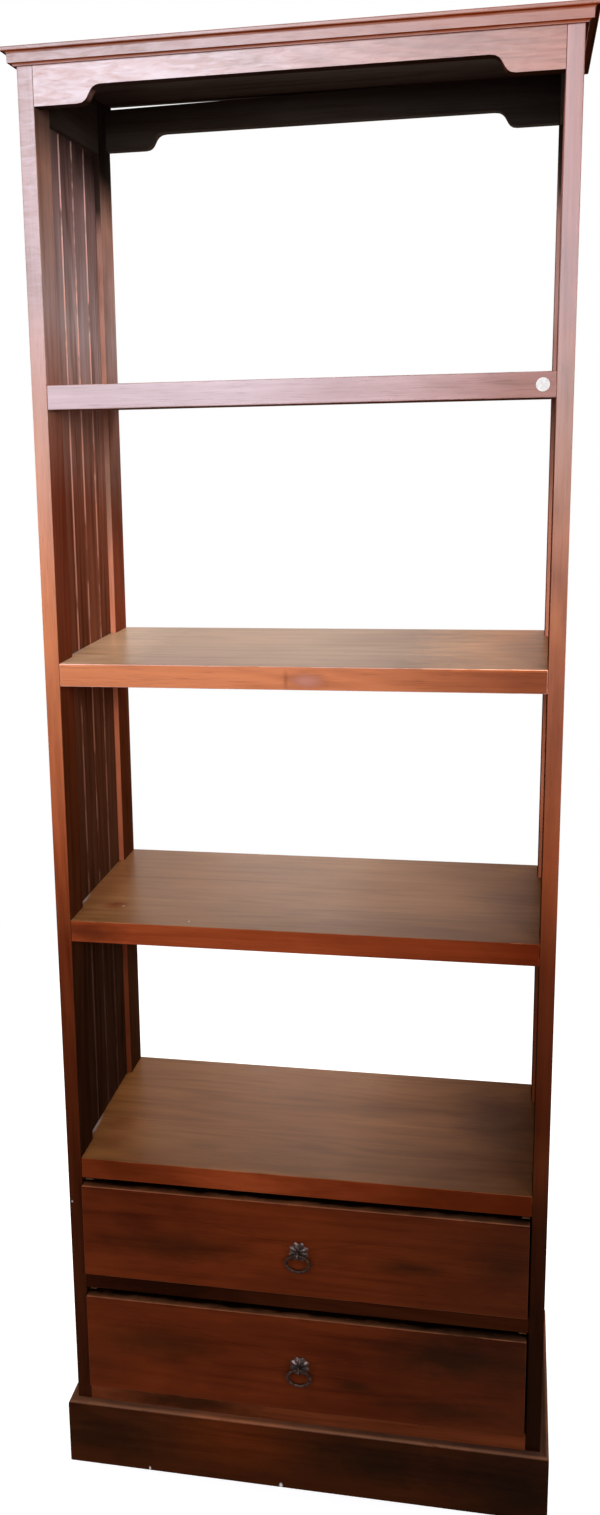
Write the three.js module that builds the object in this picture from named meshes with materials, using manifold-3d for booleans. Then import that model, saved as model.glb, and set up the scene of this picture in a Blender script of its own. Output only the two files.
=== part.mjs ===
// Tall open bookcase over two drawers, with frame-and-board sides and an open back.
// Millimetres, +Z up, the front faces -Y. The origin is the middle of the overall
// box's base, on the floor.
import * as THREE from 'three';
import { mergeVertices } from 'three/addons/utils/BufferGeometryUtils.js';
import Module from 'manifold-3d';

const wasm = await Module();
wasm.setup();

// Side frames
const frameWidth = 660; // over the outer faces of both side frames
const frameDepth = 340; // front of the front posts to the back of the rear posts
const postWidth = 20; // seen from the front
const postDepth = 60; // front to back
const sideTopRailHeight = 70;
const boardsPerSide = 4;
const boardThickness = 9;
const boardRecess = 7; // of the boards behind the posts' inner faces
const boardGap = 1.5;
const boardChamfer = 2.5; // of the V-joints

// Heights, from the floor up
const plinthHeight = 100;
const bottomRailReveal = 24; // of the bottom rail above the plinth
const lowerDrawerOpening = 157;
const drawerRailThickness = 24;
const upperDrawerOpening = 149;
const shelfCount = 4;
const shelfThickness = 30;
const shelfSpacing = 322; // clear height between two shelves
const topSpacing = 385; // clear height over the highest shelf
const topPanelThickness = 6;

// Cornice profile, measured out from the frame and up from its lower edge
const corniceHeight = 20;
const corniceReach = 16; // of the upper fascia
const corniceLowerReach = 9; // of the lower fascia
const corniceFoot = 3.5; // flat under the cove
const corniceCoveRise = 2.8;
const corniceLowerTop = 11.8; // top of the lower fascia
const corniceUpperBottom = 15.2; // underside of the upper fascia
const corniceEase = 1.5; // rounding of the upper fascia's edges

// Plinth
const plinthThickness = 12;
const plinthRound = 6; // of the upper outer edge

// Aprons, depths measured down from the top panel
const apronThickness = 20;
const apronEndDepth = 60;
const apronMiddleDepth = 39.5;
const bracketLength = 54; // flat run from the post
const ogeeRun = 30; // of the step from the bracket to the middle
const ogeeLowShare = 0.6;
const ogeeHighShare = 0.67;
const rearGapDrop = 6; // deepest point of the taper planed off the rear apron's upper edge
const rearGapInset = 3.5; // from the left post
const rearGapLength = 440;

// Drawer section
const bottomRailHeight = 60;
const bottomRailThickness = 20;
const drawerRailDepth = 50;
const rearRailThickness = 20;
const backPanelThickness = 6;
const runnerWidth = 25;
const runnerHeight = 20;

// Drawers
const frontThickness = 20;
const frontProud = 12; // of the fronts ahead of the posts
const frontSideGap = 2.5;
const frontGapAbove = 6;
const frontGapBelow = 4;
const drawerSideThickness = 10;
const drawerBackThickness = 10;
const drawerBackDrop = 8; // of the back below the sides' upper edges
const drawerBackClearance = 4; // to the back panel
const runningGap = 0.3; // of the sides over the runners
const drawerBottomThickness = 5;
const grooveDepth = 5;
const grooveRise = 8; // from the sides' lower edge
const panelSlip = 0.3; // of the drawer bottom in its grooves

// Pulls
const pullStandoff = 12; // drawer front to the ring's axis
const ringWidth = 36;
const ringHeight = 28.5;
const ringWire = 4.5;
const eyeWire = 3.5;
const eyeClearance = 0.4; // round the ring's wire
const shankDiameter = 4.4;
const shankClearance = 0.3; // in the rosette, the drawer front and the nut
const shankEnd = 1.5; // of the shank past the nut
const rosetteDiameter = 29;
const rosetteRim = 1.4; // thickness at the edge
const rosetteDome = 2.6; // of the petals' inner ends over the rim
const bossDiameter = 9; // of the round boss in the middle
const bossRise = 1.5; // over the petals' inner ends
const bossSlope = 0.8; // run of the boss's flank
const petalCount = 8;
const petalNotchShare = 0.2; // of the rosette's radius, between two petals
const petalGrooveShare = 0.75; // of the dome's rise, along the same lines
const nutSides = 6;
const nutAcrossCorners = 11;
const nutThickness = 4;

// Blank sticker on the highest shelf's front edge
const stickerDiameter = 16;
const stickerThickness = 0.3;
const stickerInset = 15.5; // from the right post to its centre

// Drawing fineness, and how far a cutting solid runs past what it cuts
const curveSegments = 8;
const roundSegments = 32;
const wireSegments = 12;
const petalRings = 5;
const rosetteSegmentsPerPetal = 8;
const cutOverrun = 1;

// Stain and metal colours
const frameStain = 0x8a3b20;
const shelfStain = 0x9b6a4a;
const drawerStain = 0x5a2210;
const plinthStain = 0x45200f;
const plainWood = 0xa98258;
const darkMetal = 0x4a4542;
const stickerWhite = 0xf2f2ee;

// Plan. Pieces are placed with the front posts' face at y = 0, and the whole is then
// moved so that the box over the pulls and the rear posts is centred.
const eyeHoleRadius = ringWire / 2 + eyeClearance;
const eyeLoopRadius = eyeHoleRadius + eyeWire / 2;
const eyeReach = eyeLoopRadius + eyeWire / 2;
const pullReach = frontProud + pullStandoff + eyeReach;
const panelFront = postDepth;
const panelBack = frameDepth - postDepth;
const outerX = frameWidth / 2;
const innerX = outerX - postWidth;
const boardInnerX = innerX + boardRecess;

// Levels
const bottomRailTop = plinthHeight + bottomRailReveal;
const drawerRailBottom = bottomRailTop + lowerDrawerOpening;
const drawerRailTop = drawerRailBottom + drawerRailThickness;
const lowestShelfBottom = drawerRailTop + upperDrawerOpening;
const shelfPitch = shelfThickness + shelfSpacing;
const highestShelfBottom = lowestShelfBottom + (shelfCount - 1) * shelfPitch;
const frameTop = highestShelfBottom + shelfThickness + topSpacing;
const overallTop = frameTop + topPanelThickness;
const corniceBottom = overallTop - corniceHeight;

const bookcase = new THREE.Group();
bookcase.position.y = (pullReach - frameDepth) / 2;

// Materials
function finish(color, roughness, metalness = 0) {
  return new THREE.MeshStandardMaterial({ color, roughness, metalness });
}

function addPiece(group, name, geometry, material) {
  const mesh = new THREE.Mesh(geometry, material);
  mesh.name = name;
  group.add(mesh);
  return mesh;
}

// Moves every corner of a unit-deep or unit-sized shape to its place
function placeCorners(geometry, place) {
  const position = geometry.getAttribute('position');
  for (let i = 0; i < position.count; i += 1) {
    const [x, y, z] = place(position.getX(i), position.getY(i), position.getZ(i));
    position.setXYZ(i, x, y, z);
  }
  geometry.computeVertexNormals();
  return geometry;
}

// Box between two corners
function block(x0, x1, y0, y1, z0, z1) {
  const corner = (x, y, z) => [x < 0 ? x0 : x1, y < 0 ? y0 : y1, z < 0 ? z0 : z1];
  return placeCorners(new THREE.BoxGeometry(1, 1, 1), corner);
}

// Cylinder along Y from y0 to y1
function barAlongY(radius, y0, y1) {
  const bar = new THREE.CylinderGeometry(radius, radius, 1, roundSegments);
  return placeCorners(bar, (x, y, z) => [x, y < 0 ? y0 : y1, z]);
}

// Outline swept a unit along its own z, for a place function to set
function sweep(outline, place) {
  const geometry = new THREE.ExtrudeGeometry(outline, { depth: 1, bevelEnabled: false, curveSegments });
  return placeCorners(geometry, place);
}

// Flat outline raised along Z from z0 to z1
function raise(outline, z0, z1) {
  return sweep(outline, (x, y, along) => [x, y, along > 0 ? z1 : z0]);
}

// Outline drawn in X and Z, thickened along Y from y0 to y1
function thicken(outline, y0, y1) {
  return sweep(outline, (x, z, along) => [x, along > 0 ? y0 : y1, z]);
}

// The same corners on the other side of the middle, in an order that keeps them counterclockwise
function mirrored(corners) {
  return corners.map(([x, y]) => [-x, y]).reverse();
}

function shapeFrom(corners) {
  return new THREE.Shape(corners.map(([x, y]) => new THREE.Vector2(x, y)));
}

// Booleans
function toSolid(geometry) {
  const bare = geometry.clone();
  bare.deleteAttribute('normal');
  bare.deleteAttribute('uv');
  const merged = mergeVertices(bare);
  const vertProperties = new Float32Array(merged.getAttribute('position').array);
  const triVerts = new Uint32Array(merged.getIndex().array);
  return new wasm.Manifold(new wasm.Mesh({ numProp: 3, vertProperties, triVerts }));
}

function toGeometry(solid) {
  const mesh = solid.getMesh();
  const geometry = new THREE.BufferGeometry();
  geometry.setAttribute('position', new THREE.BufferAttribute(new Float32Array(mesh.vertProperties), 3));
  geometry.setIndex(new THREE.BufferAttribute(new Uint32Array(mesh.triVerts), 1));
  geometry.computeVertexNormals();
  return geometry;
}

function cutAway(geometry, ...tools) {
  const cut = tools.reduce((solid, tool) => solid.subtract(toSolid(tool)), toSolid(geometry));
  return toGeometry(cut);
}

// Side frames: posts, rails and V-jointed boards
function chamferedBoard(y0, y1, z0, z1, side) {
  const inner = boardInnerX;
  const outer = boardInnerX + boardThickness;
  const corners = [
    [inner + boardChamfer, y0],
    [outer - boardChamfer, y0],
    [outer, y0 + boardChamfer],
    [outer, y1 - boardChamfer],
    [outer - boardChamfer, y1],
    [inner + boardChamfer, y1],
    [inner, y1 - boardChamfer],
    [inner, y0 + boardChamfer],
  ];
  return raise(shapeFrom(side > 0 ? corners : mirrored(corners)), z0, z1);
}

function addSideFrame(sideName, side) {
  const x0 = Math.min(side * innerX, side * outerX);
  const x1 = Math.max(side * innerX, side * outerX);
  const boardBottom = bottomRailTop;
  const boardTop = frameTop - sideTopRailHeight;
  const members = {
    post_front: [0, panelFront, 0, frameTop],
    post_rear: [panelBack, frameDepth, 0, frameTop],
    side_rail_bottom: [panelFront, panelBack, 0, boardBottom],
    side_rail_top: [panelFront, panelBack, boardTop, frameTop],
  };
  for (const [name, bounds] of Object.entries(members)) {
    addPiece(bookcase, `${name}_${sideName}`, block(x0, x1, ...bounds), finish(frameStain, 0.38));
  }

  const boardWidth = (panelBack - panelFront - (boardsPerSide - 1) * boardGap) / boardsPerSide;
  for (let i = 0; i < boardsPerSide; i += 1) {
    const y0 = panelFront + i * (boardWidth + boardGap);
    const geometry = chamferedBoard(y0, y0 + boardWidth, boardBottom, boardTop, side);
    addPiece(bookcase, `side_board_${sideName}_${i + 1}`, geometry, finish(frameStain, 0.38));
  }
}

// Shelves, let in behind the posts as far as the side boards; shelf_1 is the highest
function addShelves() {
  const rightSide = [
    [innerX, 0],
    [innerX, panelFront],
    [boardInnerX, panelFront],
    [boardInnerX, panelBack],
    [innerX, panelBack],
    [innerX, frameDepth],
  ];
  const outline = shapeFrom([...rightSide, ...mirrored(rightSide)]);
  for (let i = 0; i < shelfCount; i += 1) {
    const z0 = highestShelfBottom - i * shelfPitch;
    addPiece(bookcase, `shelf_${i + 1}`, raise(outline, z0, z0 + shelfThickness), finish(shelfStain, 0.42));
  }
}

// Aprons with bracketed ends; the rear one's upper edge is planed down in a long taper
function apronOutline(topDrop, dropStart, dropEnd) {
  const lowZ = frameTop - apronEndDepth;
  const highZ = frameTop - apronMiddleDepth;
  const ogeeStart = innerX - bracketLength;
  const ogeeEnd = ogeeStart - ogeeRun;
  const shape = new THREE.Shape();
  shape.moveTo(-innerX, lowZ);
  shape.lineTo(-ogeeStart, lowZ);
  shape.bezierCurveTo(
    -ogeeStart + ogeeRun * ogeeLowShare, lowZ,
    -ogeeEnd - ogeeRun * ogeeHighShare, highZ,
    -ogeeEnd, highZ,
  );
  shape.lineTo(ogeeEnd, highZ);
  shape.bezierCurveTo(
    ogeeEnd + ogeeRun * ogeeHighShare, highZ,
    ogeeStart - ogeeRun * ogeeLowShare, lowZ,
    ogeeStart, lowZ,
  );
  shape.lineTo(innerX, lowZ);
  shape.lineTo(innerX, frameTop);
  if (topDrop > 0) {
    shape.lineTo(dropEnd, frameTop);
    shape.lineTo(dropStart, frameTop - topDrop);
    shape.lineTo(dropStart, frameTop);
  }
  shape.lineTo(-innerX, frameTop);
  return shape;
}

function addAprons() {
  const gapStart = -innerX + rearGapInset;
  const front = thicken(apronOutline(0, 0, 0), 0, apronThickness);
  const rearShape = apronOutline(rearGapDrop, gapStart, gapStart + rearGapLength);
  const rear = thicken(rearShape, frameDepth - apronThickness, frameDepth);
  addPiece(bookcase, 'apron_front', front, finish(frameStain, 0.38));
  addPiece(bookcase, 'apron_rear', rear, finish(frameStain, 0.38));
}

// Mouldings that wrap the front and both sides, mitred at the front corners.
// A profile's x is out from the frame and its y is up from the base level.
function addMouldings(name, profile, baseZ, color) {
  const { lerp } = THREE.MathUtils;
  const runs = {
    front: (out, up, along) => [lerp(outerX + out, -outerX - out, along), -out, baseZ + up],
    left: (out, up, along) => [-outerX - out, lerp(-out, frameDepth, along), baseZ + up],
    right: (out, up, along) => [outerX + out, lerp(frameDepth, -out, along), baseZ + up],
  };
  for (const [run, place] of Object.entries(runs)) {
    addPiece(bookcase, `${name}_${run}`, sweep(profile, place), finish(color, 0.4));
  }
}

function corniceProfile() {
  const shape = new THREE.Shape();
  shape.moveTo(0, 0);
  shape.lineTo(corniceFoot, 0);
  shape.quadraticCurveTo(corniceFoot, corniceCoveRise, corniceLowerReach, corniceCoveRise);
  shape.lineTo(corniceLowerReach, corniceLowerTop);
  shape.quadraticCurveTo(
    corniceLowerReach, corniceUpperBottom,
    (corniceLowerReach + corniceReach) / 2, corniceUpperBottom,
  );
  shape.lineTo(corniceReach - corniceEase, corniceUpperBottom);
  shape.quadraticCurveTo(corniceReach, corniceUpperBottom, corniceReach, corniceUpperBottom + corniceEase);
  shape.lineTo(corniceReach, corniceHeight - corniceEase);
  shape.quadraticCurveTo(corniceReach, corniceHeight, corniceReach - corniceEase, corniceHeight);
  shape.lineTo(0, corniceHeight);
  return shape;
}

function plinthProfile() {
  const shape = new THREE.Shape();
  shape.moveTo(0, 0);
  shape.lineTo(plinthThickness, 0);
  shape.lineTo(plinthThickness, plinthHeight - plinthRound);
  shape.absarc(plinthThickness - plinthRound, plinthHeight - plinthRound, plinthRound, 0, Math.PI / 2);
  shape.lineTo(0, plinthHeight);
  return shape;
}

function addTopPanel() {
  const panel = block(-outerX, outerX, 0, frameDepth, frameTop, overallTop);
  addPiece(bookcase, 'top_panel', panel, finish(frameStain, 0.5));
}

// Rails, runners and back panel of the drawer section
const backPanelFront = frameDepth - backPanelThickness;
const rearRailFront = backPanelFront - rearRailThickness;
const bottomRailBottom = bottomRailTop - bottomRailHeight;

function addDrawerSection() {
  const rails = {
    drawer_rail: [0, drawerRailDepth, drawerRailBottom, drawerRailTop],
    bottom_rail: [0, bottomRailThickness, bottomRailBottom, bottomRailTop],
    rear_drawer_rail: [rearRailFront, backPanelFront, drawerRailBottom, drawerRailTop],
    rear_bottom_rail: [rearRailFront, backPanelFront, bottomRailBottom, bottomRailTop],
  };
  for (const [name, [y0, y1, z0, z1]] of Object.entries(rails)) {
    addPiece(bookcase, name, block(-innerX, innerX, y0, y1, z0, z1), finish(frameStain, 0.45));
  }
  const panel = block(-innerX, innerX, backPanelFront, frameDepth, bottomRailBottom, lowestShelfBottom);
  addPiece(bookcase, 'back_panel', panel, finish(plainWood, 0.6));

  const runnerLevels = {
    upper: [drawerRailDepth, drawerRailTop],
    lower: [bottomRailThickness, bottomRailTop],
  };
  for (const [level, [y0, top]] of Object.entries(runnerLevels)) {
    const bottom = top - runnerHeight;
    const left = block(-innerX, -innerX + runnerWidth, y0, rearRailFront, bottom, top);
    const right = block(innerX - runnerWidth, innerX, y0, rearRailFront, bottom, top);
    addPiece(bookcase, `runner_${level}_left`, left, finish(plainWood, 0.6));
    addPiece(bookcase, `runner_${level}_right`, right, finish(plainWood, 0.6));
  }
}

// Drawers. A drawer's group has its origin on the runners' level, in the plane of its face.
const drawerHalfWidth = innerX - frontSideGap;
const drawerInnerHalf = drawerHalfWidth - drawerSideThickness;
const drawerLength = frontProud + backPanelFront - drawerBackClearance;
const grooveHeight = drawerBottomThickness + panelSlip;
const shankHoleRadius = shankDiameter / 2 + shankClearance;

function addDrawer(number, railTop, openingHeight) {
  const drawer = new THREE.Group();
  drawer.position.set(0, -frontProud, railTop);
  bookcase.add(drawer);

  const frontTop = openingHeight - frontGapAbove;
  const pullZ = (frontGapBelow + frontTop) / 2;
  const sideBottom = runningGap;
  const grooveBottom = sideBottom + grooveRise;
  const grooveTop = grooveBottom + grooveHeight;
  const grooveHalf = drawerInnerHalf + grooveDepth;
  const grooveFront = frontThickness - grooveDepth;
  const panelTop = grooveBottom + drawerBottomThickness;
  const stain = () => finish(drawerStain, 0.35);
  const plain = () => finish(plainWood, 0.6);

  const grooveStop = drawerLength + cutOverrun;
  const groove = block(-grooveHalf, grooveHalf, grooveFront, grooveStop, grooveBottom, grooveTop);
  const boltHole = barAlongY(shankHoleRadius, -cutOverrun, frontThickness + cutOverrun);
  boltHole.translate(0, 0, pullZ);
  const front = block(-drawerHalfWidth, drawerHalfWidth, 0, frontThickness, frontGapBelow, frontTop);
  addPiece(drawer, `drawer_${number}_front`, cutAway(front, groove, boltHole), stain());

  const left = block(-drawerHalfWidth, -drawerInnerHalf, frontThickness, drawerLength, sideBottom, frontTop);
  const right = block(drawerInnerHalf, drawerHalfWidth, frontThickness, drawerLength, sideBottom, frontTop);
  addPiece(drawer, `drawer_${number}_side_left`, cutAway(left, groove), plain());
  addPiece(drawer, `drawer_${number}_side_right`, cutAway(right, groove), plain());

  const backStart = drawerLength - drawerBackThickness;
  const backTop = frontTop - drawerBackDrop;
  const back = block(-drawerInnerHalf, drawerInnerHalf, backStart, drawerLength, panelTop, backTop);
  addPiece(drawer, `drawer_${number}_back`, back, plain());

  const panelHalf = grooveHalf - panelSlip;
  const panelFront = grooveFront + panelSlip;
  const panel = block(-panelHalf, panelHalf, panelFront, drawerLength, grooveBottom, panelTop);
  addPiece(drawer, `drawer_${number}_bottom`, panel, plain());

  addPull(drawer, number, pullZ);
}

// Pulls. A pull's group has its origin on the drawer's face, in the middle of the rosette.
// The petals run out from a round boss, with a notch straight above it.
function rosette() {
  const radius = rosetteDiameter / 2;
  const bossRadius = bossDiameter / 2;
  const petalLength = radius - bossRadius;
  const bossTop = rosetteRim + rosetteDome + bossRise;
  const profile = [new THREE.Vector2(shankHoleRadius, 0), new THREE.Vector2(radius, 0)];
  for (let i = 0; i <= petalRings; i += 1) {
    const inward = i / petalRings;
    const rise = rosetteRim + rosetteDome * Math.sin((inward * Math.PI) / 2);
    profile.push(new THREE.Vector2(radius - petalLength * inward, rise));
  }
  profile.push(new THREE.Vector2(bossRadius - bossSlope, bossTop));
  profile.push(new THREE.Vector2(shankHoleRadius, bossTop));
  profile.push(profile[0].clone());
  const geometry = new THREE.LatheGeometry(profile, petalCount * rosetteSegmentsPerPetal);

  const shapePetals = (x, height, z) => {
    const outShare = Math.max(Math.hypot(x, z) - bossRadius, 0) / petalLength;
    const betweenPetals = (1 + Math.cos(petalCount * Math.atan2(z, x))) / 2;
    const shrink = 1 - petalNotchShare * betweenPetals * outShare ** 2;
    const dome = Math.max(height - rosetteRim, 0);
    const groove = petalGrooveShare * betweenPetals * Math.sqrt(outShare);
    return [x * shrink, height - dome * groove, z * shrink];
  };
  return placeCorners(geometry, shapePetals).rotateX(Math.PI);
}

function eyeBolt() {
  const loop = new THREE.TorusGeometry(eyeLoopRadius, eyeWire / 2, wireSegments, roundSegments);
  loop.rotateY(Math.PI / 2).translate(0, -pullStandoff, 0);
  const shankStart = -pullStandoff + eyeLoopRadius;
  const shankStop = frontThickness + nutThickness + shankEnd;
  const shank = barAlongY(shankDiameter / 2, shankStart, shankStop);
  return toGeometry(toSolid(loop).add(toSolid(shank)));
}

function hexNut() {
  const shape = new THREE.Shape();
  const corner = nutAcrossCorners / 2;
  for (let i = 0; i < nutSides; i += 1) {
    const angle = (i * 2 * Math.PI) / nutSides;
    shape[i === 0 ? 'moveTo' : 'lineTo'](corner * Math.cos(angle), corner * Math.sin(angle));
  }
  const hole = new THREE.Path();
  hole.absarc(0, 0, shankHoleRadius, 0, 2 * Math.PI, true);
  shape.holes.push(hole);
  return thicken(shape, frontThickness, frontThickness + nutThickness);
}

// Oval ring of round wire, centred on its own middle
function ovalRing() {
  const halfWidth = (ringWidth - ringWire) / 2;
  const halfHeight = (ringHeight - ringWire) / 2;
  const round = new THREE.TorusGeometry(halfWidth, ringWire / 2, wireSegments, roundSegments);
  return placeCorners(round.rotateX(Math.PI / 2), (x, y, z) => {
    const angle = Math.atan2(z, x);
    const outward = Math.hypot(x, z) - halfWidth;
    const facing = Math.atan2(halfWidth * Math.sin(angle), halfHeight * Math.cos(angle));
    return [
      halfWidth * Math.cos(angle) + outward * Math.cos(facing),
      y,
      halfHeight * Math.sin(angle) + outward * Math.sin(facing),
    ];
  });
}

function addPull(drawer, number, height) {
  const pull = new THREE.Group();
  pull.position.set(0, 0, height);
  drawer.add(pull);

  const metal = () => finish(darkMetal, 0.35, 0.9);
  addPiece(pull, `pull_rosette_${number}`, rosette(), metal());
  addPiece(pull, `pull_eye_${number}`, eyeBolt(), metal());
  addPiece(pull, `pull_nut_${number}`, hexNut(), metal());

  const ring = addPiece(pull, `pull_ring_${number}`, ovalRing(), metal());
  ring.position.set(0, -pullStandoff, (ringWire - ringHeight) / 2);
}

function addSticker() {
  const disc = barAlongY(stickerDiameter / 2, -stickerThickness, 0);
  const sticker = addPiece(bookcase, 'shelf_sticker', disc, finish(stickerWhite, 0.7));
  sticker.position.set(innerX - stickerInset, 0, highestShelfBottom + shelfThickness / 2);
}

addSideFrame('left', -1);
addSideFrame('right', 1);
addShelves();
addAprons();
addTopPanel();
addMouldings('cornice', corniceProfile(), corniceBottom, frameStain);
addMouldings('plinth', plinthProfile(), 0, plinthStain);
addDrawerSection();
addDrawer(1, drawerRailTop, upperDrawerOpening);
addDrawer(2, bottomRailTop, lowerDrawerOpening);
addSticker();

export default bookcase;
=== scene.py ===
"""Looks of a tall open bookcase with two drawers: stained wood, dark metal pulls and a small
studio. Metres, in the CAD's own frame: +Z up, the front faces -Y."""
import math
import random
from dataclasses import dataclass, replace

import bpy
from mathutils import Matrix, Vector

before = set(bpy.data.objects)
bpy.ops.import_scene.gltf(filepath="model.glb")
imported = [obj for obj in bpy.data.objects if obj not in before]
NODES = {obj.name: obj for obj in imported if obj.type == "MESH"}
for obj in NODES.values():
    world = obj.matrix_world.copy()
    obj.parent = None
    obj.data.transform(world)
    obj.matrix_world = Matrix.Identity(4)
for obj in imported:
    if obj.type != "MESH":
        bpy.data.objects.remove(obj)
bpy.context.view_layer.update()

MM = 0.001
PHOTO_WIDTH = 600
PHOTO_HEIGHT = 1515
RELIEF_DEPTH = 0.4 * MM
LONGEST_SHIFT = 5.0  # of a piece's noises, so that no two pieces look the same


# Camera, fitted to the photograph
CAMERA_PLACE = Vector((0.27299, -1.956585, 1.49649))
CAMERA_YAW = math.radians(12.444)  # to the left
CAMERA_PITCH = math.radians(12.7)  # down
CAMERA_ROLL = math.radians(-1.354)
FOCAL_PIXELS = 1464.43
CENTRE_X = 200.05  # pixels from the photograph's upper left corner
CENTRE_Y = 747.69
SENSOR = 36.0  # millimetres


def make_camera():
    """Pinhole with its centre shifted, as in the photograph."""
    forward = Vector(
        (
            -math.sin(CAMERA_YAW) * math.cos(CAMERA_PITCH),
            math.cos(CAMERA_YAW) * math.cos(CAMERA_PITCH),
            -math.sin(CAMERA_PITCH),
        )
    )
    level = Vector((math.cos(CAMERA_YAW), math.sin(CAMERA_YAW), 0.0))
    upright = level.cross(forward)
    right = math.cos(CAMERA_ROLL) * level + math.sin(CAMERA_ROLL) * upright
    up = math.cos(CAMERA_ROLL) * upright - math.sin(CAMERA_ROLL) * level
    data = bpy.data.cameras.new("camera")
    data.sensor_width = SENSOR
    data.lens = SENSOR * FOCAL_PIXELS / PHOTO_HEIGHT
    data.shift_x = (PHOTO_WIDTH / 2 - CENTRE_X) / PHOTO_HEIGHT
    data.shift_y = (CENTRE_Y - PHOTO_HEIGHT / 2) / PHOTO_HEIGHT
    camera = bpy.data.objects.new("camera", data)
    turn = Matrix((right, up, -forward)).transposed().to_4x4()
    camera.matrix_world = Matrix.Translation(CAMERA_PLACE) @ turn
    bpy.context.scene.collection.objects.link(camera)
    bpy.context.scene.camera = camera


# Node helpers
def link(tree, source, target):
    tree.links.new(source, target)


def node(tree, kind, **settings):
    made = tree.nodes.new(kind)
    for key, value in settings.items():
        setattr(made, key, value)
    return made


def new_material(name):
    """A material, its node tree and its shader."""
    material = bpy.data.materials.new(name)
    material.use_nodes = True
    tree = material.node_tree
    return material, tree, tree.nodes["Principled BSDF"]


def math_node(tree, operation, a, b=None, clamp=False):
    made = node(tree, "ShaderNodeMath", operation=operation, use_clamp=clamp)
    for socket, value in zip(made.inputs, (a, b)):
        if value is None:
            continue
        if isinstance(value, (int, float)):
            socket.default_value = value
        else:
            link(tree, value, socket)
    return made.outputs[0]


def times(tree, a, b):
    return math_node(tree, "MULTIPLY", a, b)


def plus(tree, a, b):
    return math_node(tree, "ADD", a, b)


def split(tree, vector):
    """X, Y and Z of a vector."""
    made = node(tree, "ShaderNodeSeparateXYZ")
    link(tree, vector, made.inputs[0])
    return tuple(made.outputs)


def mix_color(tree, blend, factor, a, b):
    made = node(tree, "ShaderNodeMix", data_type="RGBA", blend_type=blend)
    for socket, value in ((made.inputs[0], factor), (made.inputs[6], a), (made.inputs[7], b)):
        if isinstance(value, (int, float)):
            socket.default_value = value
        elif isinstance(value, tuple):
            socket.default_value = (*value, 1.0)
        else:
            link(tree, value, socket)
    return made.outputs[2]


def ramp(tree, factor, stops):
    made = node(tree, "ShaderNodeValToRGB")
    elements = made.color_ramp.elements
    while len(elements) < len(stops):
        elements.new(0.5)
    for element, (place, color) in zip(elements, stops):
        element.position = place
        element.color = (*color, 1.0)
    link(tree, factor, made.inputs[0])
    return made.outputs[0]


def map_range(tree, value, low, high, to_low=0.0, to_high=1.0):
    made = node(tree, "ShaderNodeMapRange")
    link(tree, value, made.inputs[0])
    for socket, number in zip(made.inputs[1:5], (low, high, to_low, to_high)):
        socket.default_value = number
    return made.outputs[0]


def noise(tree, coords, scale, detail=3.0, rough=0.55, distortion=0.0):
    made = node(tree, "ShaderNodeTexNoise")
    link(tree, coords, made.inputs["Vector"])
    made.inputs["Scale"].default_value = scale
    made.inputs["Detail"].default_value = detail
    made.inputs["Roughness"].default_value = rough
    made.inputs["Distortion"].default_value = distortion
    return made.outputs[0]


def moved(tree, coords, scale, shift):
    """Coordinates scaled and then shifted."""
    made = node(tree, "ShaderNodeMapping")
    link(tree, coords, made.inputs["Vector"])
    made.inputs["Scale"].default_value = scale
    made.inputs["Location"].default_value = shift
    return made.outputs[0]


def stretched(tree, coords, axis, along, across, shift):
    """Coordinates scaled by one number along the grain and another across it."""
    scale = [across, across, across]
    scale["XYZ".index(axis)] = along
    return moved(tree, coords, scale, shift)


def relief(tree, height, strength):
    """Normal of a surface with this fine relief."""
    made = node(tree, "ShaderNodeBump")
    made.inputs["Strength"].default_value = strength
    made.inputs["Distance"].default_value = RELIEF_DEPTH
    link(tree, height, made.inputs["Height"])
    return made.outputs[0]


def srgb(*values):
    """Linear colour from 0-255 display values."""
    return tuple(
        c / 12.92 if c <= 0.04045 else ((c + 0.055) / 1.055) ** 2.4
        for c in (v / 255 for v in values)
    )


def scaled(color, factor):
    return tuple(c * factor for c in color)


# Stained and lacquered wood. Every piece gets its own copy, so that neighbours' grain differs.
HEADROOM = 1.3  # a stain is written for the middle of the figure, whose light parts are this much lighter
SCALE_TOP = 2.0  # height in metres at the end of the stains' scale
RING_WAVES = 95.0  # radians of the rings' wave over the broad figure's range
BROAD_SHARE = 0.64  # of the figure, less a look's own share of streaks
RINGS_SHARE = 0.07
HAIRS_SHARE = 0.14
CLOUDS_SHARE = 0.15
DARK_GRAIN = (0.36, 0.44, 0.5)  # share of each channel that the darkest grain loses
LIGHT_GRAIN = (0.2, 0.25, 0.3)  # share of each channel that the lightest grain gains
INNER_LEAN = 0.15  # fall of the inner faces' painted sheen and shade towards the rear, in metres for each metre
PORE_SHARE = 0.4
PORE_TINT = (0.35, 0.3, 0.28)
MOTTLE_TINT = (0.34, 0.25, 0.2)
DRIFT_WANDER = 0.1  # metres by which a drift's line wanders
WEAR_AND_GLINT_SOFTNESS = 0.06  # of the noise that breaks the edges' wear and glints up
# Painted sheen: pale lilac curls that stand for bright light mirrored in the lacquer
CURL_ANGLE = math.radians(35.0)
CURL_SCALES = (34.0, 150.0)  # along and across the curls
PAINTED_SHEEN_HEIGHTS = (1.55, 1.8, 0.0, 1.0)  # low z, high z and the painted sheen's shares there
PAINTED_SHEEN_COLOR = srgb(198, 182, 188)
MARK_WEAR = 0.9  # how far noise eats into a mark, in shares of its radius
MARK_FADE = (1.45, 0.65)  # distance and wear together where a mark begins, and where it is full


def even(color):
    """Stops of a stain that is the same at every height."""
    return ((0.0, color), (SCALE_TOP, color))


def even_coat(weight):
    """Coat that weighs the same at every height."""
    return (0.0, SCALE_TOP, weight, weight)


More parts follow.
